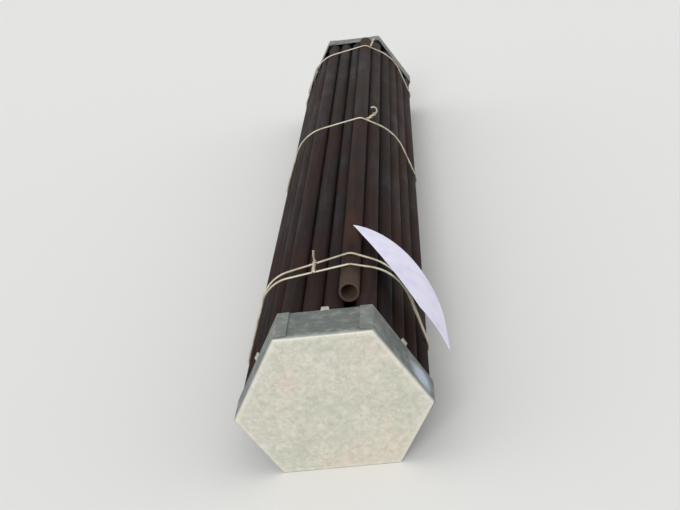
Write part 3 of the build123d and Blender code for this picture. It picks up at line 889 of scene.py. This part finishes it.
def arc(points, steps):
    """Points on the circle through three 2-D points, from the first to the last."""
    a, b, c = (Vector(point) for point in points)
    d = 2 * (a.x * (b.y - c.y) + b.x * (c.y - a.y) + c.x * (a.y - b.y))
    aa, bb, cc = a.length_squared, b.length_squared, c.length_squared
    centre = Vector(((aa * (b.y - c.y) + bb * (c.y - a.y) + cc * (a.y - b.y)) / d,
                     (aa * (c.x - b.x) + bb * (a.x - c.x) + cc * (b.x - a.x)) / d))
    first, last = a - centre, c - centre
    turn = math.atan2(first.x * last.y - first.y * last.x, first.dot(last))
    start = math.atan2(first.y, first.x)
    angles = [start + turn * i / steps for i in range(steps + 1)]
    return [centre + Vector((math.cos(angle), math.sin(angle))) * first.length for angle in angles]


def on_curl(point, raise_by):
    """A place over a plan point of the tag, raised off its underside's circle."""
    centre_x, centre_z, radius = TAG_CURL
    x = RAISED.x + point.x * MM
    lean = math.asin((x - centre_x) / radius)
    out = Vector((math.sin(lean), 0, math.cos(lean)))
    return Vector((centre_x, FRONT_FACE_Y + point.y * MM, centre_z)) + out * (radius + raise_by)


class BUNDLE_OT_tag(bpy.types.Operator):
    """Make the curled card tag"""
    bl_idname = "bundle.tag"
    bl_label = "Card tag"

    def execute(self, context):
        settings = context.scene.bundle_tag
        arc_steps, end_steps, cross_steps = 48, 14, 12
        # In mm, as the tag's plan is. The ripples are longer than wide, and die out at both tips
        ripple_span, ripple_stretch, ripple_seed = 45, 0.6, 3.0
        edges = []
        for bow in (TAG_INNER_ARC, TAG_OUTER_ARC):
            edge = arc(bow, arc_steps)
            low = Vector(TAG_LOW_TIP)
            edges.append(edge + [edge[-1].lerp(low, i / end_steps) for i in range(1, end_steps + 1)])
        rows = []
        for number, (inner, outer) in enumerate(zip(*edges)):
            fade = math.sin(math.pi * number / (len(edges[0]) - 1)) ** 0.5
            row = []
            for step in range(cross_steps + 1):
                point = inner.lerp(outer, step / cross_steps)
                hill = swell(point.x, point.y * ripple_stretch, ripple_seed, ripple_span)
                row.append(on_curl(point, settings.ripple * hill * fade))
            rows.append(row)
        mesh = bmesh.new()
        add_skin(mesh, rows, Vector((1, 0, 1)))
        piece = worked("card_tag_sheet", sheet_mesh(mesh, "card_tag"), [
            ("SOLIDIFY", {"thickness": settings.thickness, "offset": 1}),
            ("BEVEL", {"width": 0.15 * MM, "segments": 1, "limit_method": "ANGLE",
                       "angle_limit": BEVEL_ABOVE})])
        piece.data.materials.append(card(settings.white))
        hand_over(piece, "card_tag")
        return {"FINISHED"}


# Stage

def aim(thing, place, target, roll=0.0):
    """Points a camera or lamp at a target, with its upright turned by roll."""
    ahead = (target - place).normalized()
    level = ahead.cross(Vector((0, 0, 1))).normalized()
    upright = level.cross(ahead)
    right = level * math.cos(roll) + upright * math.sin(roll)
    turn = Matrix((right, right.cross(ahead), -ahead)).transposed().to_4x4()
    thing.matrix_world = Matrix.Translation(place) @ turn


class BUNDLE_OT_stage(bpy.types.Operator):
    """Make the pale floor, the soft lights and the camera"""
    bl_idname = "bundle.stage"
    bl_label = "Stage"

    def execute(self, context):
        settings = context.scene.bundle_stage
        scene = context.scene
        # In metres each way, so that the floor ends far beyond the bundle
        half = 30.0
        floor_mesh = bpy.data.meshes.new("floor")
        floor_mesh.from_pydata([(-half, -half, 0), (half, -half, 0), (half, half, 0), (-half, half, 0)],
                               [], [(0, 1, 2, 3)])
        floor = in_scene("floor", floor_mesh)
        material, tree, shader, _ = new_material("pale_floor")
        connect(tree, shader, {"Base Color": settings.floor, "Roughness": 0.9})
        floor.data.materials.append(material)

        world = bpy.data.worlds.new("studio")
        scene.world = world
        world.use_nodes = True
        sky = world.node_tree
        sky.nodes.clear()
        light = add(sky, "ShaderNodeBackground", inputs={"Color": linear("#F2F3F5"), "Strength": 0.8})
        seen = add(sky, "ShaderNodeBackground", inputs={"Color": linear("#F4F4F3"), "Strength": 1.0})
        ray = add(sky, "ShaderNodeLightPath").outputs
        mirrored = add(sky, "ShaderNodeMath", {"operation": "MAXIMUM"},
                       {0: ray["Is Glossy Ray"], 1: ray["Is Transmission Ray"]})
        shown = add(sky, "ShaderNodeMath", {"operation": "MAXIMUM"}, {0: ray["Is Camera Ray"], 1: mirrored})
        both = add(sky, "ShaderNodeMixShader", inputs={0: shown, 1: light, 2: seen})
        add(sky, "ShaderNodeOutputWorld", inputs={"Surface": both})

        # A wide sun gives soft shadows and, unlike a near lamp, leaves no bright patch on the floor
        key_place, key_aim = Vector((-0.8, -4.6, 2.1)), Vector((0, 0, 0.15))
        key = bpy.data.lights.new("key", "SUN")
        key.energy = 1.5
        key.angle = math.radians(24)
        aim(in_scene("key", key), key_place, key_aim)

        camera_data = bpy.data.cameras.new("camera")
        camera_data.lens = settings.lens
        camera_data.sensor_width = 36.0
        camera = in_scene("camera", camera_data)
        aim(camera, Vector(settings.camera_place), Vector(settings.camera_aim), settings.camera_roll)
        scene.camera = camera
        scene.view_settings.view_transform = "Standard"
        return {"FINISHED"}


# Add-on

class BUNDLE_PT_panel(bpy.types.Panel):
    """Lists the bundle's sizes and the steps that make it"""
    bl_idname = "BUNDLE_PT_panel"
    bl_label = "Pipe Bundle"
    bl_space_type = "VIEW_3D"
    bl_region_type = "UI"
    bl_category = "Pipe Bundle"

    def draw(self, context):
        for step in STEPS:
            box = self.layout.box()
            box.operator("bundle." + step)
            settings = getattr(context.scene, "bundle_" + step)
            for name in settings.__annotations__:
                box.prop(settings, name)


# Each step's operator and its settings in the scene share the step's name
STEPS = {
    "pipes": PipeSettings, "end_caps": CapSettings, "ties": TieSettings, "tag": TagSettings,
    "stage": StageSettings,
}
CLASSES = list(STEPS.values()) + [
    BUNDLE_OT_pipes, BUNDLE_OT_end_caps, BUNDLE_OT_ties, BUNDLE_OT_tag, BUNDLE_OT_stage, BUNDLE_PT_panel,
]


def register():
    for cls in CLASSES:
        bpy.utils.register_class(cls)
    for step, group in STEPS.items():
        setattr(bpy.types.Scene, "bundle_" + step, PointerProperty(type=group))


def unregister():
    for step in STEPS:
        delattr(bpy.types.Scene, "bundle_" + step)
    for cls in reversed(CLASSES):
        bpy.utils.unregister_class(cls)


def main():
    register()
    bpy.ops.bundle.pipes()
    bpy.ops.bundle.end_caps()
    bpy.ops.bundle.ties()
    bpy.ops.bundle.tag()
    bpy.ops.bundle.stage()


if __name__ == "__main__":
    main()
